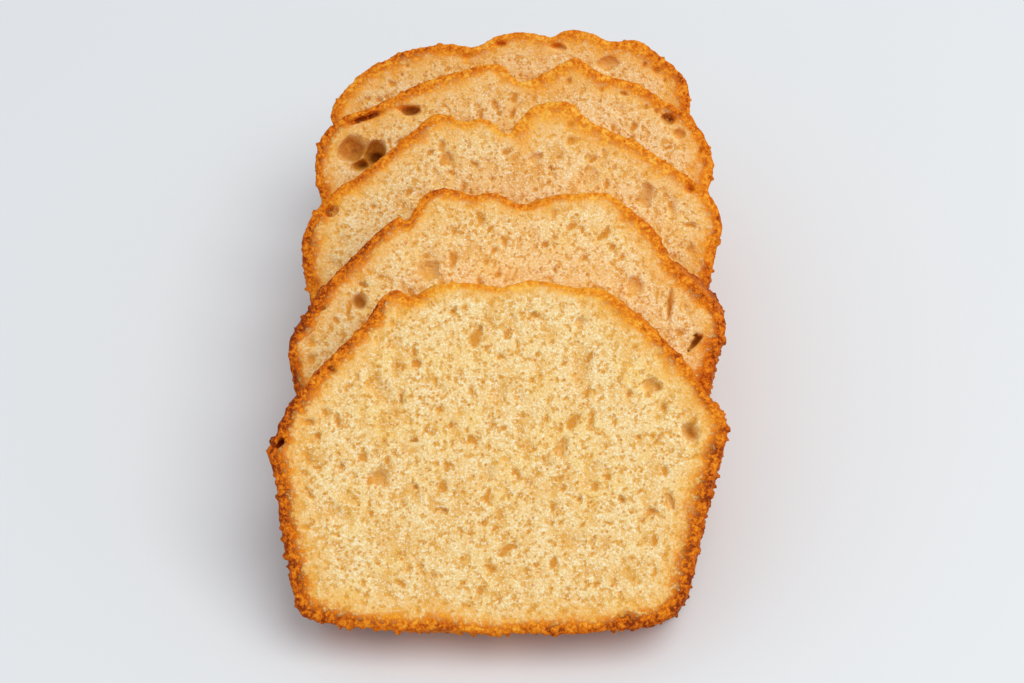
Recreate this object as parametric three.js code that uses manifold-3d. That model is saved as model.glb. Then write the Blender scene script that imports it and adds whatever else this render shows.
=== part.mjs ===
// One half of a vanilla loaf cake, cut into five slices that lean back on one another.
// Millimetres, +Z up. X runs across the slices, the cut faces look towards -Y and up,
// and the last slice is the end of the loaf, with the tin's end wall as its back.
import * as THREE from "three";
import { mergeVertices } from "three/addons/utils/BufferGeometryUtils.js";
import Module from "manifold-3d";

const wasm = await Module();
wasm.setup();

// ---- Driving dimensions ----
const THICKNESS = 21; // of a slice, from cut face to cut face
const LEANS = [50.5, 50, 48.5, 46, 42]; // degrees back from upright, front slice first
const SHIFTS = [0, 0.2, -0.3, 0.2, -0.4]; // sideways, from laying the slices down by hand
const AIR = 0.4; // between two slices where they touch
const PRESSED = 1.2; // how far a slice's weight has flattened the edge that it rests on
const GROUND = { across: 400, deep: 100 }; // block that flattens it, larger than any slice

// ---- Loaf ----
// Outlines of the loaf at each cut, seen from the front: [across, up] from the middle of its
// base, clockwise from the left foot. The tin shapes them up to the rim, about 45 up, and the
// dome above it has flat shoulders and the splits that opened as it rose.
const CUTS = [
  [[-44, 0], [-50, 3], [-55, 24], [-57, 38], [-59, 44], [-56, 48], [-55, 53.5], [-49, 61.5],
   [-41, 70], [-33, 79], [-29.5, 84], [-27, 85.7], [-24, 85.2], [-21.5, 83.2], [-18, 85.4],
   [-12, 86.8], [-5, 87], [1, 85.9], [6, 87.8], [11, 88.2], [22, 85.8], [27, 85.6], [35, 79.5],
   [48.5, 66.5], [54, 58], [59, 52], [57, 42], [51.5, 22], [46, 3], [40, 0]],
  [[-44, 0], [-50, 3], [-56.5, 34], [-58.5, 45], [-55.5, 51], [-50, 59.5], [-41, 69], [-34, 76],
   [-29.5, 79.5], [-26, 78.5], [-23, 84], [-19, 87.5], [-12, 87.5], [-9, 85.5], [-3, 87],
   [5, 83], [13, 85.5], [28, 86], [33, 82], [40, 76.5], [44, 68.5], [50, 63], [56, 56],
   [58.5, 50], [56, 42], [53, 30], [46, 3], [40, 0]],
  [[-44, 0], [-49, 3], [-55.5, 32], [-58, 48], [-57, 53], [-52.5, 59.5], [-35, 73], [-26, 80.5],
   [-22, 84], [-17, 84], [-13, 81.5], [-8, 83], [-4, 80.5], [-1, 78], [2, 82.5], [7, 86.5],
   [16, 87], [22, 82], [35, 76], [48, 67], [54.5, 61.5], [58, 55], [55.5, 42], [52.5, 26],
   [46, 3], [40, 0]],
  [[-43, 0], [-48, 3], [-56, 30], [-58.5, 44], [-58, 52], [-53, 59], [-42, 63], [-33, 67.5],
   [-18, 72.5], [-9, 75], [-4, 74], [-1, 70], [3, 70], [10, 73.5], [16, 76.5], [22, 73],
   [31, 70], [40, 65], [48, 60], [53, 53], [55, 46], [53, 32], [45, 3], [39, 0]],
  [[-41, 0], [-46, 4], [-54, 30], [-57, 40], [-55, 45.5], [-49, 52], [-40, 57.5], [-31, 60.5],
   [-20, 62], [-14.5, 60.5], [-6, 64.5], [5, 64.5], [8, 63.5], [13, 65.5], [22, 64], [25, 62],
   [34, 62.5], [39, 58], [44, 55], [48.5, 49], [49, 42], [46, 26], [41, 4], [36, 0]],
  [[-36, 0], [-41, 4], [-49, 30], [-51, 38], [-44, 47], [-22, 52], [6, 53], [28, 51], [40, 45],
   [44, 37], [42, 26], [36, 4], [31, 0]],
];

// Air bubbles that the knife has opened: [across, up, width, height, depth, turn in degrees].
const BUBBLES = [
  [[49, 49, 5.8, 5, 3.2, 35], [39, 61, 4.2, 4.8, 2, 10], [-30, 37, 5.1, 4.8, 2, 0],
   [17, 45, 2.6, 7.6, 1.8, 8], [45, 31, 2.4, 5.2, 2, -15], [22, 76, 4.2, 2.6, 1.6, -35]],
  [[-39, 57, 4.4, 4, 4, 0], [-20, 66, 6, 6, 2.2, 20], [34, 62, 4.8, 5.4, 1.8, 0],
   [43, 56, 1.8, 9, 2, 5]],
  [[-17, 71, 3.6, 4.2, 2, -20], [7, 72, 3.8, 3.6, 1.6, 0], [37, 61, 4.2, 9, 2.4, 12],
   [-50, 57, 4, 3.2, 2.6, 0], [49, 63, 3.2, 2.6, 2, 0]],
  [[-47.5, 50.5, 8.5, 9, 5, 15], [-41, 49.5, 6.5, 7.5, 5.5, -25], [-31.5, 62.2, 8, 2.9, 3, 0],
   [-44, 59.8, 13, 1.8, 3, -16], [42, 59, 4.8, 3.4, 3, 0], [45, 54, 2.8, 2.8, 2.2, 0]],
  [[10.5, 60.2, 5, 2.2, 2.4, 0], [25, 55.4, 6.8, 4.8, 2.4, -15], [-6.5, 61.3, 5, 1.5, 2, -4]],
];
const BUBBLE_STEPS = [9, 6]; // round a bubble, and from pole to pole

// ---- Surface ----
const HUB = 28; // height in a cut that its whole outline can be seen from
const CURVE_STEPS = 480; // samples of an outline before it is read by angle
const OUTLINE_STEPS = 104; // vertices round a slice
const CROWDING = 0.32; // how much closer together they are at the top, for the splits, from 0 to 1
const CRUST_STEPS = 4; // bands of crust between two cut faces
const FLAT_RINGS = [0.55]; // rings on a flat cut face, as shares of the way out
const HEEL_RINGS = [0.3, 0.52, 0.7, 0.83, 0.93]; // and on the loaf's rounded end
const CRAGS = [
  { wavelength: 13, height: 0.5 },
  { wavelength: 5, height: 0.5 },
]; // roughness of the crust
const MERGE_DISTANCE = 1e-4;

// ---- End of the loaf ----
const HEEL_RIM = 38; // height where the end's dome meets the tin's wall
const HEEL_FOOT_SHARE = 0.82; // of the thickness that is left at the foot of the sloping wall
const HEEL_LEAST_SHARE = 0.3; // of the thickness that is left at the edge
const HEEL_CORNER_POWER = 5; // how square the tin's corners are
const HEEL_DOME_SLACK = 5; // by which the end's dome would rise past the crown

const HEEL = LEANS.length - 1; // the slice that is the end of the loaf

const CRUMB = { color: 0xe6bd7a, roughness: 0.9, metalness: 0 };

// The same number from 0 to 1 each time for the same corner of a grid.
function gridValue(i, j, k) {
  let h = Math.imul(i, 374761393) ^ Math.imul(j, 668265263) ^ Math.imul(k, 1274126177);
  h = Math.imul(h ^ (h >>> 13), 1103515245);
  h = Math.imul(h ^ (h >>> 15), 2246822519);
  return ((h ^ (h >>> 16)) >>> 0) / 4294967295;
}

// Smooth noise from -1 to 1 at a point, with one swell to a grid cell.
function noise(x, y, z) {
  const [i, j, k] = [x, y, z].map(Math.floor);
  const [a, b, c] = [x - i, y - j, z - k].map((t) => t * t * (3 - 2 * t));
  let sum = 0;
  for (const [di, wi] of [[0, 1 - a], [1, a]])
    for (const [dj, wj] of [[0, 1 - b], [1, b]])
      for (const [dk, wk] of [[0, 1 - c], [1, c]])
        sum += wi * wj * wk * gridValue(i + di, j + dj, k + dk);
  return 2 * sum - 1;
}

function crag(x, y, z) {
  return CRAGS.reduce((sum, { wavelength: w, height: h }) => sum + h * noise(x / w, y / w, z / w), 0);
}

// A cut's outline as radii about the hub, sorted by the angle from straight up.
function outlineOf(knots) {
  const curve = new THREE.CatmullRomCurve3(
    knots.map(([x, z]) => new THREE.Vector3(x, 0, z)),
    true,
    "centripetal",
  );
  const spokes = curve
    .getPoints(CURVE_STEPS)
    .slice(1)
    .map(({ x, z }) => ({ angle: Math.atan2(x, z - HUB), radius: Math.hypot(x, z - HUB) }));
  return spokes.sort((p, q) => p.angle - q.angle);
}

const OUTLINES = CUTS.map(outlineOf);

function outlineRadius(outline, angle) {
  const found = outline.findIndex((spoke) => spoke.angle > angle);
  const after = outline[found < 0 ? 0 : found];
  const before = outline[found > 0 ? found - 1 : outline.length - 1];
  const full = 2 * Math.PI;
  const span = (after.angle - before.angle + full) % full;
  const along = (angle - before.angle + full) % full;
  return THREE.MathUtils.lerp(before.radius, after.radius, along / span);
}

// The crust's distance from the hub line, at an angle and at a distance along the loaf.
function loafRadius(angle, along) {
  const cut = Math.min(along / THICKNESS, OUTLINES.length - 1);
  const first = Math.min(Math.floor(cut), OUTLINES.length - 2);
  const smooth = THREE.MathUtils.lerp(
    outlineRadius(OUTLINES[first], angle),
    outlineRadius(OUTLINES[first + 1], angle),
    cut - first,
  );
  return smooth + crag(smooth * Math.sin(angle), along, smooth * Math.cos(angle));
}

function crownHeight(cut) {
  return Math.max(...CUTS[cut].map(([, up]) => up));
}

// How much of the end slice's thickness is there, at a place on its face.
function heelShare(x, z) {
  const { clamp, lerp } = THREE.MathUtils;
  const wall = lerp(HEEL_FOOT_SHARE, 1, clamp(z / HEEL_RIM, 0, 1));
  const rise = clamp((z - HEEL_RIM) / (crownHeight(HEEL) + HEEL_DOME_SLACK - HEEL_RIM), 0, 1);
  const halfWidth = Math.max(...CUTS[HEEL].map(([across]) => Math.abs(across)));
  const corner = Math.sqrt(1 - Math.min(1, (Math.abs(x) / halfWidth) ** HEEL_CORNER_POWER));
  return lerp(HEEL_LEAST_SHARE, 1, wall * Math.sqrt(1 - rise * rise) * corner);
}

function footThickness(slice) {
  return THICKNESS * (slice === HEEL ? heelShare(0, 0) : 1);
}

// A slice as a closed shell. In its own frame Y runs from its front face to its back, and the
// back edge of its base is on the X axis. The triangles are those of a turned disc.
function sliceGeometry(slice) {
  const backRings = slice === HEEL ? HEEL_RINGS : FLAT_RINGS;
  const bands = Array.from({ length: CRUST_STEPS + 1 }, (_, i) => i / CRUST_STEPS);
  const disc = new THREE.LatheGeometry(
    [
      new THREE.Vector2(0, 0),
      ...FLAT_RINGS.map((share) => new THREE.Vector2(share, 0)),
      ...bands.map((share) => new THREE.Vector2(1, share)),
      ...backRings.toReversed().map((share) => new THREE.Vector2(share, 1)),
      new THREE.Vector2(0, 1),
    ],
    OUTLINE_STEPS,
  );
  const position = disc.getAttribute("position");
  for (let i = 0; i < position.count; i++) {
    const [sideways, depth, upwards] = [position.getX(i), position.getY(i), position.getZ(i)];
    const out = Math.hypot(sideways, upwards);
    const spoke = Math.atan2(sideways, upwards);
    const angle = spoke - CROWDING * Math.sin(spoke);
    const reach = out * outlineRadius(OUTLINES[slice], angle);
    const [x, z] = [reach * Math.sin(angle), HUB + reach * Math.cos(angle)];
    const along = depth * THICKNESS * (slice === HEEL ? heelShare(x, z) : 1);
    const radius = out * loafRadius(angle, slice * THICKNESS + along);
    position.setXYZ(
      i,
      radius * Math.sin(angle),
      along - footThickness(slice),
      HUB + radius * Math.cos(angle),
    );
  }
  return disc;
}

function solidOf(geometry) {
  const bare = geometry.clone();
  bare.deleteAttribute("normal");
  bare.deleteAttribute("uv");
  const merged = mergeVertices(bare, MERGE_DISTANCE);
  const corners = merged.index.array;
  const triangles = [];
  for (let i = 0; i < corners.length; i += 3) {
    const [a, b, c] = corners.slice(i, i + 3);
    if (a !== b && b !== c && c !== a) triangles.push(a, b, c); // a turned disc's poles collapse some
  }
  return new wasm.Manifold(
    new wasm.Mesh({
      numProp: 3,
      vertProperties: merged.getAttribute("position").array,
      triVerts: new Uint32Array(triangles),
    }),
  );
}

function geometryOf(solid) {
  const { vertProperties, triVerts } = solid.getMesh();
  const geometry = new THREE.BufferGeometry();
  geometry.setAttribute("position", new THREE.BufferAttribute(vertProperties, 3));
  geometry.setIndex(new THREE.BufferAttribute(triVerts, 1));
  geometry.computeVertexNormals();
  return geometry;
}

function bubbleGeometry(slice, [across, up, width, height, depth, turn]) {
  return new THREE.SphereGeometry(1, ...BUBBLE_STEPS)
    .rotateX(Math.PI / 2)
    .scale(width / 2, depth, height / 2)
    .rotateY(THREE.MathUtils.degToRad(turn))
    .translate(across, -footThickness(slice), up);
}

// Where each slice's resting edge lies, so that its front face just clears the slice before.
function restingPlaces() {
  const leans = LEANS.map(THREE.MathUtils.degToRad);
  const places = [0];
  for (let next = 1; next < leans.length; next++) {
    const [before, lean] = [leans[next - 1], leans[next]];
    const clearances = [0, crownHeight(next)].map((height) => {
      const back = places[next - 1] + height * Math.sin(before);
      const up = height * Math.cos(before);
      return back + (AIR + footThickness(next) - up * Math.sin(lean)) / Math.cos(lean);
    });
    places.push(Math.max(...clearances));
  }
  return places;
}

function makeRow() {
  const row = new THREE.Group();
  const places = restingPlaces();
  for (const [slice, lean] of LEANS.entries()) {
    const mesh = new THREE.Mesh();
    mesh.name = `slice_${slice + 1}`;
    mesh.rotation.x = -THREE.MathUtils.degToRad(lean);
    mesh.position.set(SHIFTS[slice], places[slice], -PRESSED);
    mesh.updateMatrix();
    const ground = new THREE.BoxGeometry(GROUND.across, GROUND.across, GROUND.deep);
    ground.translate(0, places[slice], -GROUND.deep / 2);
    const cutters = BUBBLES[slice].map((bubble) => bubbleGeometry(slice, bubble));
    cutters.push(ground.applyMatrix4(mesh.matrix.clone().invert()));
    const solid = cutters.reduce(
      (left, cutter) => left.subtract(solidOf(cutter)),
      solidOf(sliceGeometry(slice)),
    );
    mesh.geometry = geometryOf(solid);
    mesh.material = new THREE.MeshStandardMaterial(CRUMB);
    row.add(mesh);
  }
  const bounds = new THREE.Box3().setFromObject(row, true);
  const middle = bounds.getCenter(new THREE.Vector3());
  row.position.set(-middle.x, -middle.y, 0);
  return row;
}

const halfLoaf = new THREE.Group();
halfLoaf.add(makeRow());

export default halfLoaf;
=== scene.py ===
"""Half a vanilla loaf cake in five leaning slices: open crumb, golden pores and browned crust.

Scene lengths are metres. A slice is worked on in a frame of its own, in millimetres: X across the
slice, Y from its front cut to its back, and Z up the cut from the base.
"""
import itertools
import math

import bpy
import numpy as np
from mathutils import Matrix, Vector
from mathutils.bvhtree import BVHTree


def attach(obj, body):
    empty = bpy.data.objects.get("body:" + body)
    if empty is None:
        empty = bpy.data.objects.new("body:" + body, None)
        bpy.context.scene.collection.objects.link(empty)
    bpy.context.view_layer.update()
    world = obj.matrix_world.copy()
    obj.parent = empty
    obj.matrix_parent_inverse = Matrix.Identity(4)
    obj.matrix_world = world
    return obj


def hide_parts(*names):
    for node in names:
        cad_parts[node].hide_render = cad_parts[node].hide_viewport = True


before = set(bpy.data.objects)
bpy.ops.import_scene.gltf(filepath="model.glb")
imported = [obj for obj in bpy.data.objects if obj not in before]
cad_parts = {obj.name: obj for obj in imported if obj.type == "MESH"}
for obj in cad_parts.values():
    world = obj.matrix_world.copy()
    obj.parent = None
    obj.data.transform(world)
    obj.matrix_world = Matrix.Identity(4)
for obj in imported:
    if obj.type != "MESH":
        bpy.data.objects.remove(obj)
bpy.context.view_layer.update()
SLICES = sorted(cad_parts)
HEEL = SLICES[-1]  # the end of the loaf, whose back is crust

MM_PER_M = 1000

# ---- Mesh of a slice ----
SHARP = math.radians(35)  # between a cut and the crust
ROUNDING_LEVELS = 2
MERGE_MM = 0.002
FACES = 87_000  # of a finished slice
FACES_PER_VOXEL_AREA = 1.06
CUT_FACES_ACROSS = 0.6  # the most that a crust face looks along the loaf, as its normal's Y
FRONT_SIDEWAYS = 0.02  # the most that a front cut's normal has in X
FRONT_LOOK = 0.3  # the least that it looks forwards, and upwards

# ---- Crust ----
HUB = 28  # height in a cut that bearings are taken from
# How thick the browned layer is and how dark it is baked, 0 to 1, at bearings from straight up.
BAKING = {
    "slice_1": [
        (-180, 3, 0.6), (-95, 4.6, 0.82), (-60, 4.4, 0.79), (-40, 3.6, 0.74), (-27, 3.6, 0.72),
        (-19, 2.4, 0.42), (-6, 1.9, 0.37), (12, 1.7, 0.38), (20, 2.2, 0.4), (27, 3.6, 0.52),
        (33, 3.6, 0.6), (45, 4, 0.66), (60, 3.6, 0.68), (80, 4.6, 0.8), (110, 4.4, 0.84),
        (180, 3, 0.6),
    ],
    "slice_2": [
        (-180, 3, 0.6), (-60, 3.6, 0.84), (-33, 3.4, 0.76), (-26, 3, 0.7), (-15, 2.8, 0.64),
        (-6, 2.3, 0.55), (24, 2.2, 0.51), (30, 3.2, 0.56), (45, 3.4, 0.68), (70, 4.2, 0.8),
        (110, 4, 0.75), (180, 3, 0.6),
    ],
    "slice_3": [
        (-180, 3, 0.6), (-70, 4.2, 0.7), (-45, 3.2, 0.6), (-22, 3.6, 0.64), (-13, 2, 0.4),
        (-1, 1.8, 0.3), (3, 4, 0.46), (14, 4.6, 0.5), (24, 4, 0.52), (50, 3.4, 0.58), (80, 4, 0.7),
        (180, 3, 0.6),
    ],
    "slice_4": [
        (-180, 3, 0.6), (-70, 3.8, 0.68), (-30, 3.4, 0.6), (-8, 3.2, 0.5), (0, 2.2, 0.36),
        (7, 3.5, 0.48), (16, 3.8, 0.5), (40, 3.6, 0.56), (80, 4.4, 0.68), (180, 3, 0.6),
    ],
    "slice_5": [
        (-180, 3, 0.6), (-70, 3.6, 0.6), (0, 3.2, 0.48), (70, 3.6, 0.6), (180, 3, 0.6),
    ],
}
CRUST_RELIEF = ((5, 0.3), (2, 0.35), (1.1, 0.25))  # wavelength and height
CRUST_RELIEF_DEPTH = 1  # where it has faded
CRUST_GRAINS = (1.7, 0.5)  # width and height of the rounded crumbs that the crust is made of
GRAIN_MEAN = 0.3  # height of a grain's noise that leaves the crust where it is
LOOSE_CRUMBS = (1.6, 0.9)  # width and height of the few that stand out from it
LOOSE_CRUMB_LEVELS = (0.45, 0.8)  # noise where they start and where they are in full
DOME_SMOOTHNESS = 0.45  # how much less rough the top is than the walls
WALL_BEARINGS = (40, 80)  # where the one turns into the other
CRUMBLE = 0.7  # most that a cut's edge has crumbled back
CRUMBLE_WAVE = 1.7
CRUMBLE_SHARE = 0.4  # added to its noise, so that more than half of the edge has crumbled
CRUMBLE_REACH = 1.8  # from the crust

# ---- Crumb ----
RELIEF_STEP = 0.25  # of the grid that a cut's pores are worked out on
RELIEF_MARGIN = 4
PORE_WARP = ((1.6, 0.4), (5, 0.7))  # wavelength and reach of what makes the pores uneven
SPONGE = ((1.8, 0.26), (4, 0.2))  # wavelength and depth of the hollows all over the crumb
SPONGE_LEVELS = (0.1, 0.8)  # noise where a hollow starts and where it is deepest
SPONGE_DEPTH = 2  # from the crust, where the sponge is in full
SPONGE_GOLD = 0.45  # how golden its deepest hollows are
SPONGE_STRETCH = 1.5  # along the way the cake rose
MEAN_LEAN = math.radians(48)
BUBBLE_WARP = ((2.4, 0.6), (6, 1))  # wavelength and reach of what makes the large bubbles uneven
BUBBLE_WARP_DEPTHS = (1, 4)  # from the crust, where it starts and where it is in full
# Random pores: how many to a square millimetre, half width, depth for each half width, how golden
# their painted shade is inside, and whether they have a soft rim.
PORE_KINDS = (
    (0.0016, (1.8, 3.6), (0.2, 0.36), 0.3, True),
    (0.01, (0.6, 1.2), (0.5, 0.9), 1, False),
    (0.05, (0.45, 0.75), (0.5, 0.9), 0.9, True),
)
PORE_STRETCH = (1.1, 2.1)  # height to width
PORE_SWING = 32  # degrees that a pore's long side strays from the way the cake rose
RISE_FAN = 0.55  # how far the rise leans with the bearing from the hub
PORE_CLEARANCE = 0.6  # from the crust
PORE_WARP_REACH = 2  # past a pore's own size that its place on the grid is worked out
PORE_GOLD_LEVEL = 0.8  # height in its bowl where a pore is golden in full
FACING = (0.1, 0.6)  # how far a point looks out of the cut where the sponge starts, and in full
HOLE_DEPTHS = (1, 2.5)  # from the crust, past which what looks sideways is the wall of a hole
BASE_DEPTH = 2.8  # of the base's lowest point under the line that the seen pores are measured from
# Pores seen on the front cuts, beside the large ones of the solids: across, up, width, height,
# depth and turn, and for a soft one how golden it is too.
SEEN_PORES = {
    "slice_1": [
        (1, 68, 2.6, 2.6, 1, 0), (-43, 65, 3.4, 2.2, 1.6, 30), (-21.5, 69.5, 1.8, 2.4, 1, 0),
        (-20.5, 66.5, 3, 3, 1, 0), (-24.7, 57, 1.5, 3.4, 1.6, 0), (-5.5, 72, 3.6, 6, 0.9, 10),
        (-4.8, 75, 1.4, 2.6, 1.6, 20), (-11.3, 79.7, 2, 1.6, 1.3, -30), (10, 79, 4.6, 1.2, 1.3, 12),
        (43, 54.6, 2, 2.2, 1.4, 0), (33.8, 59, 1.7, 2.6, 1.2, 0), (24.6, 52.5, 1.6, 6, 0.8, 5),
        (-48.3, 51, 3.6, 1.8, 1.3, 0), (-41.1, 51.5, 1.7, 3.4, 1.3, 15),
        (-46.3, 47.6, 1.8, 1.8, 1.5, 0), (-34.3, 42, 3, 3, 1, 0), (-39.7, 40, 1.7, 2.4, 1.2, 0),
        (-21, 46.7, 2.8, 1.7, 1.6, 0), (-11.5, 50.6, 1.6, 2.4, 1.3, 0),
        (-20.4, 34.6, 2, 1.8, 1.4, 0), (-13.5, 35, 3.2, 3.6, 0.9, 0), (-13.3, 29, 2, 1.5, 1.4, 0),
        (13.8, 40.7, 2.6, 1, 1.6, -35), (21, 32, 1.8, 1.8, 1.4, 0), (32, 31.7, 1.9, 1.8, 1.4, 0),
        (39.8, 28.6, 2.6, 2.4, 1.4, 0), (42.8, 38.5, 2, 3.2, 1, 0), (-55.8, 45.6, 1.5, 4, 4, 25),
        (-29.7, 37.4, 5, 5.6, 2, 20, 0.5, True), (39.2, 60.6, 4.6, 5.4, 1.5, 0, 0.5, True),
        (41.2, 60.3, 1.8, 2.6, 1.8, 0), (17, 45.3, 3, 8.6, 1.3, 8, 0.4, True),
    ],
    "slice_2": [
        (-37.7, 61.5, 3, 1.6, 1.5, 0), (-48.8, 55.3, 3.2, 1, 1.4, -25),
        (50, 46.5, 5.4, 1.2, 5.5, -42), (50.8, 47.9, 2.4, 1, 4.5, 30), (46.8, 48.8, 2, 1.8, 1, 0),
        (13.6, 65.8, 1.4, 1.4, 1.2, 0), (11, 72.8, 2, 2.2, 1, 0), (28.5, 72, 2.4, 2.2, 1, 0),
        (43.6, 55.8, 1.2, 9.5, 2, 6), (-21, 64.8, 7, 7, 1.5, 20, 0.5, True),
        (34.1, 61.2, 5.4, 6.4, 1.3, 0, 0.5, True),
    ],
    "slice_3": [
        (16, 80, 1.6, 1.6, 1.3, 0), (16, 76.1, 2, 2.8, 1.2, 0), (10.9, 68.4, 2.4, 1.2, 1.2, 20),
        (34.5, 60.2, 2, 1.8, 1.8, 0), (43.7, 58, 3, 7, 1.1, 8, 0.3, True),
        (48.8, 52.6, 4.4, 1.4, 1.4, 0), (-38.2, 58.9, 1.6, 1.8, 1, 0), (-9.5, 69.7, 1.6, 1.4, 1, 0),
        (-1.5, 73.5, 3, 2.4, 0.8, 0),
    ],
    "slice_4": [
        (-41, 48.6, 9, 8, 7, -20, 1, True), (-45, 46.5, 7.5, 6, 5.5, 0, 1, True),
        (-30.8, 61.9, 5.6, 2.3, 5.2, 0), (14, 69.7, 1.8, 2, 1.6, 0), (23.7, 66.6, 1.3, 1.2, 1.3, 0),
        (29.3, 66.6, 3, 1.4, 1.6, 25), (36.4, 62.2, 1.8, 1.6, 1.4, 0),
        (39.2, 61.2, 1.2, 1.2, 1.3, 0), (51, 50, 1.3, 1.3, 1.3, 0), (-2, 60.7, 1.9, 3, 1.2, 0),
    ],
    "slice_5": [
        (-16.5, 58.5, 4, 1.6, 1.2, -10), (35.3, 55.6, 1.6, 1.6, 1.5, 0), (38.6, 54, 2, 1.7, 1.5, 0),
        (41.2, 50.9, 1.3, 1.3, 1.3, 0), (-34, 55.3, 1.2, 1.2, 1.2, 0),
        (-36, 53.2, 1.2, 1.2, 1.2, 0), (-45.3, 46, 1.6, 1.6, 1.2, 0),
    ],
}


# ---- Noise ----
# Turns the noise's own grid away from the slices', so that it doesn't show.
NOISE_TURN = np.array(Matrix.Rotation(0.9, 3, Vector((1, 2, 3))))
NOISE_CELLS = 32  # to a side, before the noise repeats
# Each slice's seed is a multiple of the first of these, and the rest are added to it.
SLICE_SEEDS = 100
PORE_WARP_SEEDS = (10, 20)
SPONGE_SEED = 30
RELIEF_SEED = 50
GRAIN_SEED = 53
BUBBLE_WARP_SEEDS = (54, 57)
LOOSE_CRUMB_SEED = 58
CRUMBLE_SEED = 60
CUT_SEED = 70


def noise(points, wavelength, seed):
    """Smooth noise from -1 to 1 at points, with one swell to a wavelength."""
    size = NOISE_CELLS
    table = np.random.default_rng(seed).uniform(-1, 1, size ** 3)
    cell = NOISE_TURN @ points.T / wavelength
    corner = np.floor(cell).astype(int)
    part = cell - corner
    part = part * part * (3 - 2 * part)
    sides = [((low % size, 1 - share), ((low + 1) % size, share)) for low, share in zip(corner, part)]
    return sum(
        a * b * c * table[(i * size + j) * size + k]
        for (i, a), (j, b), (k, c) in itertools.product(*sides)
    )


def layered_noise(points, layers, seed):
    """Noise of several (wavelength, height) layers together."""
    return sum(h * noise(points, w, seed + i) for i, (w, h) in enumerate(layers))


def smooth_step(low, high, values):
    share = np.clip((values - low) / (high - low), 0, 1)
    return share * share * (3 - 2 * share)


# ---- Mesh tools ----

def read(items, field, width=1):
    values = np.empty(len(items) * width)
    items.foreach_get(field, values)
    return values.reshape(-1, width) if width > 1 else values


def paint(mesh, name, values):
    """Keeps a number for each vertex, for the materials."""
    layer = mesh.attributes.new(name, "FLOAT", "POINT")
    layer.data.foreach_set("value", values.astype(np.float32))


def work_on(piece, mode="OBJECT"):
    if bpy.context.mode != "OBJECT":
        bpy.ops.object.mode_set(mode="OBJECT")
    bpy.ops.object.select_all(action="DESELECT")
    piece.select_set(True)
    bpy.context.view_layer.objects.active = piece
    bpy.ops.object.mode_set(mode=mode)


def apply_modifier(piece, kind, **settings):
    modifier = piece.modifiers.new(kind.lower(), kind)
    for field, value in settings.items():
        setattr(modifier, field, value)
    work_on(piece)
    bpy.ops.object.modifier_apply(modifier=modifier.name)


def slice_frame(node):
    """The matrix from the scene to a slice's own frame."""
    mesh = node.data
    normals = read(mesh.polygons, "normal", 3)
    areas = read(mesh.polygons, "area")
    on_front = abs(normals[:, 0]) < FRONT_SIDEWAYS
    on_front &= (normals[:, 1] < -FRONT_LOOK) & (normals[:, 2] > FRONT_LOOK)
    _, towards, up = (normals[on_front] * areas[on_front, None]).sum(axis=0)
    lean = math.atan2(up, -towards)
    turn = Matrix.Rotation(lean, 4, "X")
    corners = read(mesh.vertices, "co", 3) @ np.array(turn.to_3x3()).T
    to_corner = Matrix.Translation((0, -corners[:, 1].min(), -corners[:, 2].min()))
    return Matrix.Scale(MM_PER_M, 4) @ to_corner @ turn


def rounded_slice(node, to_slice):
    """A copy of the solid in the slice's frame, with its facets rounded and its cut edges kept."""
    piece = bpy.data.objects.new(f"{node.name}_cake", node.data.copy())
    bpy.context.scene.collection.objects.link(piece)
    piece.data.transform(to_slice)
    work_on(piece, "EDIT")
    bpy.ops.mesh.select_all(action="SELECT")
    bpy.ops.mesh.remove_doubles(threshold=MERGE_MM)
    bpy.ops.mesh.select_all(action="DESELECT")
    bpy.ops.mesh.select_mode(type="EDGE")
    bpy.ops.mesh.edges_select_sharp(sharpness=SHARP)
    bpy.ops.transform.edge_crease(value=1)
    apply_modifier(piece, "SUBSURF", levels=ROUNDING_LEVELS, render_levels=ROUNDING_LEVELS)
    return piece


def crust_of(piece, is_heel):
    """The crust's surface alone, to measure how deep in the cake a point is."""
    mesh = piece.data
    work_on(piece, "EDIT")
    bpy.ops.mesh.select_mode(type="FACE")
    bpy.ops.mesh.select_all(action="DESELECT")
    bpy.ops.object.mode_set(mode="OBJECT")
    widest = max(mesh.polygons, key=lambda face: face.center.x)
    widest.select = True
    bpy.ops.object.mode_set(mode="EDIT")
    bpy.ops.mesh.faces_select_linked_flat(sharpness=SHARP)
    bpy.ops.object.mode_set(mode="OBJECT")
    faces = [
        tuple(face.vertices)
        for face in mesh.polygons
        if face.select and (is_heel or abs(face.normal.y) < CUT_FACES_ACROSS)
    ]
    return BVHTree.FromPolygons([vertex.co for vertex in mesh.vertices], faces)


# ---- Relief of a cut ----

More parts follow.
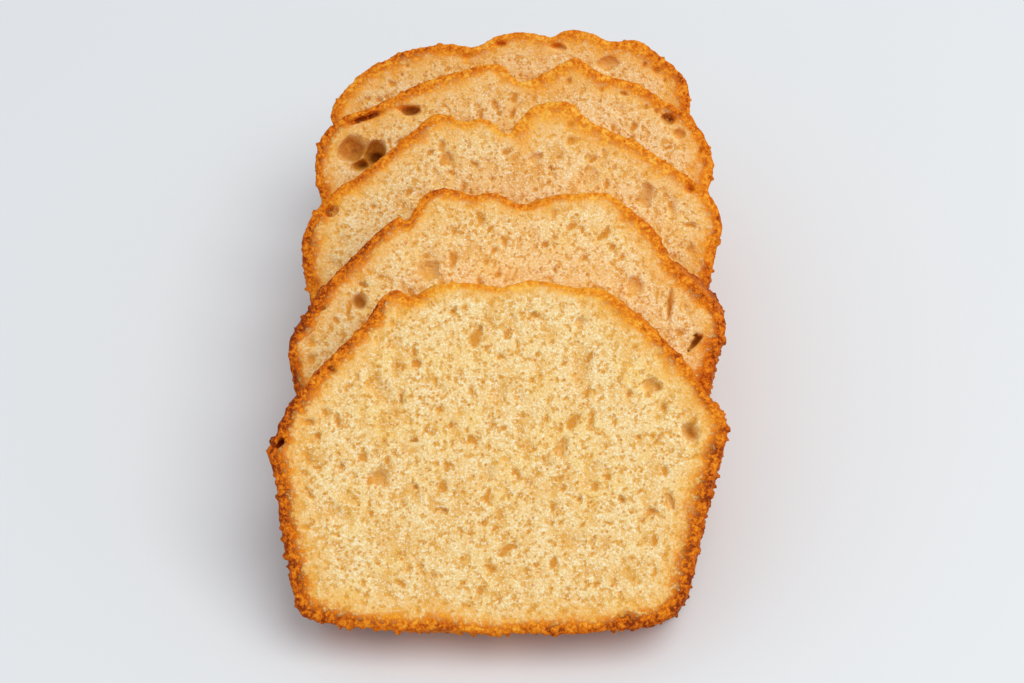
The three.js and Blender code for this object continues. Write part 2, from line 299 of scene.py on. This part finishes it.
class Cut:
    """How far the crumb lies behind one cut face, on a grid."""

    def __init__(self, low, high, seed):
        self.random = np.random.default_rng(seed)
        self.middle = (low[1] + high[1]) / 2
        self.low = np.array([low[0], low[2]]) - RELIEF_MARGIN
        size = (np.array([high[0], high[2]]) - self.low + RELIEF_MARGIN) / RELIEF_STEP
        lines = (start + np.arange(int(steps)) * RELIEF_STEP for start, steps in zip(self.low, size))
        self.x, self.z = np.meshgrid(*lines)
        points = np.stack([self.x.ravel(), np.full(self.x.size, float(seed)), self.z.ravel()], axis=1)
        warp = [layered_noise(points, PORE_WARP, seed + shift) for shift in PORE_WARP_SEEDS]
        self.warped_x = self.x + warp[0].reshape(self.x.shape)
        self.warped_z = self.z + warp[1].reshape(self.x.shape)
        risen = points / (1, 1, SPONGE_STRETCH)
        self.sponge = sum(
            depth * smooth_step(*SPONGE_LEVELS, noise(risen, wave, seed + SPONGE_SEED + i))
            for i, (wave, depth) in enumerate(SPONGE)
        ).reshape(self.x.shape)
        self.pores = np.zeros(self.x.shape)
        self.golden = np.zeros(self.x.shape)

    def add_pore(self, across, up, width, height, depth, turn, gold=1, soft=False):
        reach = max(width, height) / 2 + PORE_WARP_REACH
        lows = ((np.array([across, up]) - reach - self.low) / RELIEF_STEP).astype(int).clip(0)
        highs = lows + int(2 * reach / RELIEF_STEP) + 1
        window = (slice(lows[1], highs[1]), slice(lows[0], highs[0]))
        x = self.warped_x[window] - across
        z = self.warped_z[window] - up
        c, s = math.cos(math.radians(turn)), math.sin(math.radians(turn))
        wide = (c * x - s * z) / (width / 2)
        high = (s * x + c * z) / (height / 2)
        bowl = np.clip(1 - wide * wide - high * high, 0, 1)
        deep = depth * (bowl ** 2 if soft else np.sqrt(bowl))
        self.pores[window] = np.maximum(self.pores[window], deep)
        golden = gold * smooth_step(0, PORE_GOLD_LEVEL, bowl)
        self.golden[window] = np.maximum(self.golden[window], golden)

    def add_random_pores(self, crust):
        low, high = self.low, np.array([self.x.max(), self.z.max()])
        for density, half_widths, depths, gold, soft in PORE_KINDS:
            for _ in range(int(density * np.prod(high - low))):
                across, up = self.random.uniform(low, high)
                half_width = self.random.uniform(*half_widths)
                depth = half_width * self.random.uniform(*depths)
                stretch = self.random.uniform(*PORE_STRETCH)
                swing = self.random.normal(0, PORE_SWING)
                place, outwards, _, distance = crust.find_nearest((across, self.middle, up))
                inside = (Vector((across, self.middle, up)) - place).dot(outwards) < 0
                if inside and distance > half_width * stretch + PORE_CLEARANCE:
                    rise = RISE_FAN * math.degrees(math.atan2(across, up - HUB))
                    size = (2 * half_width, 2 * half_width * stretch)
                    self.add_pore(across, up, *size, depth, rise + swing, gold, soft)

    def at(self, grid, x, z):
        column = (x - self.low[0]) / RELIEF_STEP
        row = (z - self.low[1]) / RELIEF_STEP
        i = np.clip(column.astype(int), 0, grid.shape[1] - 2)
        j = np.clip(row.astype(int), 0, grid.shape[0] - 2)
        a, b = column - i, row - j
        top = grid[j + 1, i] * (1 - a) + grid[j + 1, i + 1] * a
        bottom = grid[j, i] * (1 - a) + grid[j, i + 1] * a
        return bottom * (1 - b) + top * b


def crust_relief(points, depths, bearing, seed):
    """How far the crust stands out at each point, with its grains and loose crumbs."""
    rough = layered_noise(points, CRUST_RELIEF, seed + RELIEF_SEED)
    width, height = CRUST_GRAINS
    rough += height * (abs(noise(points, width, seed + GRAIN_SEED)) - GRAIN_MEAN)
    width, height = LOOSE_CRUMBS
    loose = noise(points, width, seed + LOOSE_CRUMB_SEED)
    rough += height * smooth_step(*LOOSE_CRUMB_LEVELS, loose)
    rough *= smooth_step(CRUST_RELIEF_DEPTH, 0, depths)
    rough *= 1 - DOME_SMOOTHNESS * smooth_step(*reversed(WALL_BEARINGS), abs(bearing))
    return rough


def crumbled_edge(points, depths, seed):
    """How far back the crumb has crumbled along the edges of the cuts."""
    uneven = noise(points, CRUMBLE_WAVE, seed + CRUMBLE_SEED)
    crumble = CRUMBLE * np.clip(uneven + CRUMBLE_SHARE, 0, 1)
    return crumble * smooth_step(CRUMBLE_REACH, 0, depths)


def cuts_of(name, low, high, crust, seed):
    """Each cut with the plane that it lies in and its way into the slice, along Y."""
    front = Cut(low, high, seed + CUT_SEED)
    front.add_random_pores(crust)
    for across, up, *shape in SEEN_PORES[name]:
        front.add_pore(across, up + BASE_DEPTH, *shape)
    yield front, low[1], 1
    if name != HEEL:
        back = Cut(low, high, seed + CUT_SEED + 1)
        back.add_random_pores(crust)
        yield back, high[1], -1


def finished_slice(number, name):
    """A slice with its crust, crumb and pores, and the numbers that its material reads."""
    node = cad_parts[name]
    seed = SLICE_SEEDS * number
    to_slice = slice_frame(node)
    piece = rounded_slice(node, to_slice)
    crust = crust_of(piece, name == HEEL)
    mesh = piece.data
    area = read(mesh.polygons, "area").sum()
    voxel = math.sqrt(area * FACES_PER_VOXEL_AREA / FACES)
    apply_modifier(piece, "REMESH", mode="VOXEL", voxel_size=voxel, use_smooth_shade=True)

    points = read(mesh.vertices, "co", 3)
    normals = read(mesh.vertices, "normal", 3)
    low, high = points.min(axis=0), points.max(axis=0)
    depths = np.array([crust.find_nearest(Vector(point))[3] for point in points])
    bearing = np.degrees(np.arctan2(points[:, 0], points[:, 2] - HUB))

    # The crust stands out in the plane of the cuts, except on the loaf's rounded end.
    outwards = normals.copy()
    if name != HEEL:
        outwards[:, 1] = 0
    moved = points + outwards * crust_relief(points, depths, bearing, seed)[:, None]
    inner = smooth_step(*BUBBLE_WARP_DEPTHS, depths)
    for axis, shift in zip((0, 2), BUBBLE_WARP_SEEDS):
        moved[:, axis] += layered_noise(points, BUBBLE_WARP, seed + shift) * inner

    crumble = crumbled_edge(points, depths, seed)
    # golden is a painted shade in the cuts' pores and hollows, warmed to stand for light scattered
    # through the crumb
    golden = np.zeros(len(points))
    hollow = np.zeros(len(points))
    for cut, plane, inwards in cuts_of(name, low, high, crust, seed):
        behind = (points[:, 1] - plane) * inwards
        near = behind < (high[1] - low[1]) / 2
        place = moved[:, 0], moved[:, 2]
        pores = cut.at(cut.pores, *place)
        sponge = cut.at(cut.sponge, *place) * smooth_step(0, SPONGE_DEPTH, depths)
        facing = smooth_step(*FACING, -normals[:, 1] * inwards)
        gold = np.maximum(cut.at(cut.golden, *place), sponge / SPONGE[0][1] * SPONGE_GOLD)
        deep = np.maximum(behind, np.maximum(pores, crumble)) + sponge * facing
        moved[near, 1] = (plane + inwards * deep)[near]
        in_a_hole = np.maximum(facing, smooth_step(*HOLE_DEPTHS, depths))
        golden = np.where(near, gold * facing, golden)
        hollow = np.where(near, np.maximum(behind, pores) * in_a_hole, hollow)

    bearings, layers, darks = np.array(BAKING[name]).T
    paint(mesh, "depth", depths)
    paint(mesh, "layer", np.interp(bearing, bearings, layers))
    paint(mesh, "baked", np.interp(bearing, bearings, darks))
    paint(mesh, "golden", golden)
    paint(mesh, "hollow", hollow)
    to_scene = np.array(to_slice.inverted())
    world = moved @ to_scene[:3, :3].T + to_scene[:3, 3]
    world[:, 2] = world[:, 2].clip(0)
    mesh.vertices.foreach_set("co", world.ravel())
    mesh.update()
    return piece


# ---- Materials ----

def linear(red, green, blue):
    """A colour as it is seen, 0 to 255, as the linear colour that a shader takes."""
    shares = (value / 255 for value in (red, green, blue))
    return (*(s / 12.92 if s <= 0.04045 else ((s + 0.055) / 1.055) ** 2.4 for s in shares), 1)


class Value:
    """A number in a material. Arithmetic on it adds Math nodes."""

    def __init__(self, shader, socket):
        self.shader, self.socket = shader, socket

    def maths(self, operation, *numbers):
        settings = {"operation": operation}
        return self.shader.node("ShaderNodeMath", settings, dict(enumerate(numbers)))

    def __add__(self, other):
        return self.maths("ADD", self, other)

    __radd__ = __add__

    def __sub__(self, other):
        return self.maths("SUBTRACT", self, other)

    def __rsub__(self, other):
        return self.maths("SUBTRACT", other, self)

    def __mul__(self, other):
        return self.maths("MULTIPLY", self, other)

    __rmul__ = __mul__

    def __truediv__(self, other):
        return self.maths("DIVIDE", self, other)

    def most(self, other):
        return self.maths("MAXIMUM", self, other)

    def between(self, low, high):
        """0 below low, 1 above high and smooth between them; the other way round if low is higher."""
        settings = {"interpolation_type": "SMOOTHSTEP"}
        links = {"Value": self, "From Min": min(low, high), "From Max": max(low, high)}
        step = self.shader.node("ShaderNodeMapRange", settings, links)
        return step if low < high else 1 - step


class Shader:
    """A material's nodes."""

    def __init__(self, name):
        self.material = bpy.data.materials.new(name)
        self.material.use_nodes = True
        self.tree = self.material.node_tree
        self.surface = self.tree.nodes["Principled BSDF"]
        place = self.node("ShaderNodeTexCoord", {}, {}, "Object")
        self.place = self.node(
            "ShaderNodeVectorMath", {"operation": "SCALE"}, {0: place, "Scale": MM_PER_M}
        )
        upright = {"Vector": self.place, "Rotation": (-MEAN_LEAN, 0, 0), "Scale": (1, 1, 1)}
        turned = self.node("ShaderNodeMapping", {}, upright)
        squeezed = {0: turned, 1: (1, 1, 1 / SPONGE_STRETCH)}
        self.risen = self.node("ShaderNodeVectorMath", {"operation": "MULTIPLY"}, squeezed)

    def set(self, socket, value):
        if isinstance(value, Value):
            self.tree.links.new(value.socket, socket)
        else:
            socket.default_value = value

    def node(self, kind, settings, links, output=0):
        made = self.tree.nodes.new(kind)
        for field, value in settings.items():
            if field == "stops":
                self.set_stops(made.color_ramp, value)
            else:
                setattr(made, field, value)
        for name, value in links.items():
            self.set(made.inputs[name], value)
        return Value(self, made.outputs[output])

    def set_stops(self, ramp, stops):
        for extra in stops[2:]:
            ramp.elements.new(extra[0])
        for element, (position, colour) in zip(ramp.elements, stops):
            element.position, element.color = position, colour

    def painted(self, name):
        return self.node("ShaderNodeAttribute", {"attribute_name": name}, {}, "Fac")

    def noise(self, wavelength, detail, roughness, place=None):
        links = {"Vector": place or self.place, "Scale": 1 / wavelength}
        links.update({"Detail": detail, "Roughness": roughness})
        return self.node("ShaderNodeTexNoise", {}, links)

    def cells(self, width):
        return self.node("ShaderNodeTexVoronoi", {}, {"Vector": self.place, "Scale": 1 / width})

    def mix(self, amount, first, second):
        """A colour between two, at an amount from 0 to 1."""
        return self.node("ShaderNodeMix", {"data_type": "RGBA"}, {0: amount, 6: first, 7: second}, 2)

    def layer(self, name, mask, under):
        """One of the LAYERS over a colour, where its mask says."""
        levels, strength, colour = LAYERS[name]
        return self.mix(mask.between(*levels) * strength, under, colour)

    def ramp(self, value, stops):
        return self.node("ShaderNodeValToRGB", {"stops": stops}, {"Fac": value})

    def bump(self, height):
        return self.node("ShaderNodeBump", {}, {"Height": height, "Distance": 1 / MM_PER_M})

    def finish(self, **sockets):
        for name, value in sockets.items():
            self.set(self.surface.inputs[name.replace("_", " ")], value)
        return self.material


# The material's noises: wavelength, detail and roughness.
GRAIN = (0.6, 3, 0.65)
PITS = (1.5, 2, 0.5)
FLECKS = (1, 3, 0.7)
MOTTLE = (2.6, 3, 0.6)
PATCH = (5, 2, 0.5)
DRIFT = (12, 2, 0.5)
PIN_SPACING = 2.4
PIN_SIZE = (0.22, 0.1)  # of the spacing, where a pinhole starts and is in full
MIDDLE = 0.5  # of a noise's range
GRAIN_LEVELS = (0.34, 0.66)
SPECK_LEVELS = (0.36, 0.64)
# What the bump makes of them, in millimetres.
GRAIN_HEIGHT = 0.35
PIT_HEIGHT = 0.15
PIT_HEIGHT_LEVELS = (0.5, 0.7)
SPECK_HEIGHT = 0.15

# Crumb
CRUMB_SHADE = linear(240, 196, 122)
CRUMB_LIGHT = linear(255, 231, 178)
# Painted shade in the holes, browner next to the crust
CAVE = linear(188, 120, 28)
CAVE_AT_CRUST = linear(158, 58, 4)
CAVE_LAYERS = (3, 1)  # how many crust layers in the one turns into the other
CRUMB_ROUGHNESS = 0.9
PIT_LEVELS = (0.5, 0.66)
PIT_GOLD = 0.65
GRAIN_GOLD = 0.5  # how much less golden a bright grain is than a dark one
# Colours laid over it in turn: the levels of the mask where one starts and is in full, how strong
# it then is, and the colour.
LAYERS = {
    "patch": ((0.48, 0.66), 0.45, linear(240, 186, 94)),
    "drift": ((0.48, 0.7), 0.4, linear(252, 208, 112)),
    # painted golden shade in the pores and pits
    "pore": ((0.05, 0.6), 0.8, linear(232, 170, 70)),
    # a painted highlight on the tips of the grains, where the bump raises them
    "grain highlight": ((0.54, 0.68), 0.65, linear(255, 249, 228)),
    # painted shade in the shallow dents and, darkest, in the deep holes
    "dent shade": ((0.2, 1.7), 0.6, linear(228, 168, 76)),
    "deep hole shade": ((3.6, 6), 0.8, linear(118, 54, 6)),
    "under the crust": ((2.6, 0.9), 0.6, linear(246, 178, 70)),
}
# Painted deeper shade in the pores' hearts and in pinholes that have no depth of their own
AMBER = linear(214, 134, 30)
AMBER_LEVELS = (0.5, 1)
AMBER_STRENGTH = 0.75
# Hollow depths where the painted brown shade of the holes starts and is in full, and how strong it is
HOLE_LEVELS = (1.4, 3.2)
HOLE_STRENGTH = 0.85

# Crust: golden where it is baked least, through orange brown to dark specks.
CRUST = [
    (0, linear(255, 206, 104)),
    (0.3, linear(252, 176, 56)),
    (0.55, linear(238, 140, 24)),
    (0.8, linear(208, 100, 10)),
    (1, linear(134, 50, 4)),
]
SKIN_DEPTHS = (0.9, 0.2)  # where the cut through the crust turns into its outer side
SKIN_BROWN = 0.06  # how much darker its outer side is
SKIN_EVENNESS = 0.45  # how much less its specks and blots stand out
SPECK_BROWN = 0.4
BLOT_BROWN = 0.3
DRIFT_BROWN = 0.5
PATCH_BROWN = 0.3
# Painted shade in the hollows of the cut crust: how strong it is, and the hollow depths where it
# starts and is in full
CRACK_SHADE = 0.4
CRACK_DEPTHS = (0.8, 2.4)
RIM_LEVELS = (1.25, 0.6)  # depth in crust layers where the crust starts and is in full
EDGE_LEVELS = (1.5, 0.5)  # and where its specks stand out, and the crumb's pits end
SWIRL = 0.5  # how far specks and blots shift the colour under the crust, in crust layers
RIM_SWIRL = 0.4  # and the crust's own edge
CRUST_GLOSS = 0.25  # how much less rough it is than the crumb


def cake_material():
    shader = Shader("cake")
    depth, baked = shader.painted("depth"), shader.painted("baked")
    golden, hollow = shader.painted("golden"), shader.painted("hollow")
    inside = depth / shader.painted("layer")
    grain = shader.noise(*GRAIN)
    pits = shader.noise(*PITS, shader.risen)
    pins = shader.cells(PIN_SPACING)
    patch = shader.noise(*PATCH, shader.risen)
    drift = shader.noise(*DRIFT)
    speck = shader.noise(*FLECKS).between(*SPECK_LEVELS) - MIDDLE
    blot = shader.noise(*MOTTLE).between(*SPECK_LEVELS) - MIDDLE

    # A pale sponge with brighter grains and yellower drifts, with a painted golden shade in its
    # hollows.
    crumb = shader.mix(grain.between(*GRAIN_LEVELS), CRUMB_SHADE, CRUMB_LIGHT)
    crumb = shader.layer("patch", patch, crumb)
    crumb = shader.layer("drift", drift, crumb)
    golden = golden.most(pits.between(*PIT_LEVELS) * PIT_GOLD) - (grain - MIDDLE) * GRAIN_GOLD
    crumb = shader.layer("pore", golden, crumb)
    # Painted highlight on the grains' tips.
    crumb = shader.layer("grain highlight", grain, crumb)
    # Painted amber shade in the pores' hearts and in pinholes.
    amber = golden.between(*AMBER_LEVELS).most(pins.between(*PIN_SIZE))
    crumb = shader.mix(amber * AMBER_STRENGTH, crumb, AMBER)
    # Painted shade in the hollows: tan in the dents, brown in the holes, almost black in the deepest.
    crumb = shader.layer("dent shade", hollow, crumb)
    cave = shader.mix(inside.between(*CAVE_LAYERS), CAVE, CAVE_AT_CRUST)
    crumb = shader.mix(hollow.between(*HOLE_LEVELS) * HOLE_STRENGTH, crumb, cave)
    crumb = shader.layer("deep hole shade", hollow, crumb)
    swirl = speck + blot
    crumb = shader.layer("under the crust", inside + swirl * SWIRL, crumb)

    # The crust is evener and darker on its outer side, and gets a painted shade in its cracks.
    skin = depth.between(*SKIN_DEPTHS)
    uneven = (speck * SPECK_BROWN + blot * BLOT_BROWN) * (1 - skin * SKIN_EVENNESS)
    clouds = (drift - MIDDLE) * DRIFT_BROWN + (patch - MIDDLE) * PATCH_BROWN * skin
    cracks = hollow.between(*CRACK_DEPTHS) * CRACK_SHADE * (1 - skin)
    browned = baked + uneven + clouds + skin * SKIN_BROWN + cracks
    rim = (inside + swirl * RIM_SWIRL).between(*RIM_LEVELS)
    colour = shader.mix(rim, crumb, shader.ramp(browned, CRUST))

    edge = inside.between(*EDGE_LEVELS)
    height = grain * GRAIN_HEIGHT + speck * edge * SPECK_HEIGHT
    height -= pits.between(*PIT_HEIGHT_LEVELS) * PIT_HEIGHT * (1 - edge)
    return shader.finish(
        Base_Color=colour,
        Roughness=CRUMB_ROUGHNESS - CRUST_GLOSS * rim,
        Normal=shader.bump(height),
        Subsurface_Weight=0.15,
        Subsurface_Radius=(1, 0.7, 0.45),
        Subsurface_Scale=0.002,
        Specular_IOR_Level=0.1,
    )


def floor_material():
    shader = Shader("floor")
    return shader.finish(Base_Color=FLOOR_COLOUR, Roughness=0.7, Specular_IOR_Level=0.2)


# ---- Studio ----

FLOOR_SIZE = 6
FLOOR_COLOUR = linear(227, 230, 232)
LAMP_AT = Vector((0.7, -0.35, 1.5))
LAMP_SIZE = 1.4
LAMP_WATTS = 16.4
LAMP_COLOUR = (1, 0.985, 0.96)
ROOM_COLOUR = (0.93, 0.96, 1, 1)
ROOM_LIGHT = 0.64
CAMERA_AT = Vector((0.0563, -0.4509, 0.5055))
AIM = Vector((0, -0.004, 0.026))
LENS = 84


def add_floor():
    bpy.ops.object.select_all(action="DESELECT")
    bpy.ops.mesh.primitive_plane_add(size=FLOOR_SIZE, location=(0, 0, 0))
    floor = bpy.context.object
    floor.name = "floor"
    floor.data.materials.append(floor_material())


def add_camera():
    """Stands where the photograph was taken from, level with the slices' width."""
    ahead = (AIM - CAMERA_AT).normalized()
    across = Vector((1, 0, 0))
    right = (across - across.dot(ahead) * ahead).normalized()
    up = right.cross(ahead)
    camera = bpy.data.objects.new("camera", bpy.data.cameras.new("camera"))
    turn = Matrix((right, up, -ahead)).transposed().to_4x4()
    camera.matrix_world = Matrix.Translation(CAMERA_AT) @ turn
    camera.data.lens = LENS
    bpy.context.scene.collection.objects.link(camera)
    bpy.context.scene.camera = camera


def add_lamp():
    data = bpy.data.lights.new("soft_box", "AREA")
    data.shape = "DISK"
    data.size = LAMP_SIZE
    data.energy = LAMP_WATTS
    data.color = LAMP_COLOUR
    lamp = bpy.data.objects.new("soft_box", data)
    lamp.location = LAMP_AT
    lamp.rotation_euler = (-LAMP_AT).to_track_quat("-Z", "Y").to_euler()
    bpy.context.scene.collection.objects.link(lamp)


def light_room():
    world = bpy.data.worlds.new("studio")
    world.use_nodes = True
    background = world.node_tree.nodes["Background"]
    background.inputs["Color"].default_value = ROOM_COLOUR
    background.inputs["Strength"].default_value = ROOM_LIGHT
    bpy.context.scene.world = world
    bpy.context.scene.view_settings.view_transform = "Standard"


add_camera()
add_floor()
add_lamp()
light_room()
cake = cake_material()
for number, name in enumerate(SLICES, start=1):
    piece = finished_slice(number, name)
    piece.data.materials.clear()
    piece.data.materials.append(cake)
    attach(piece, "root")
    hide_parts(name)
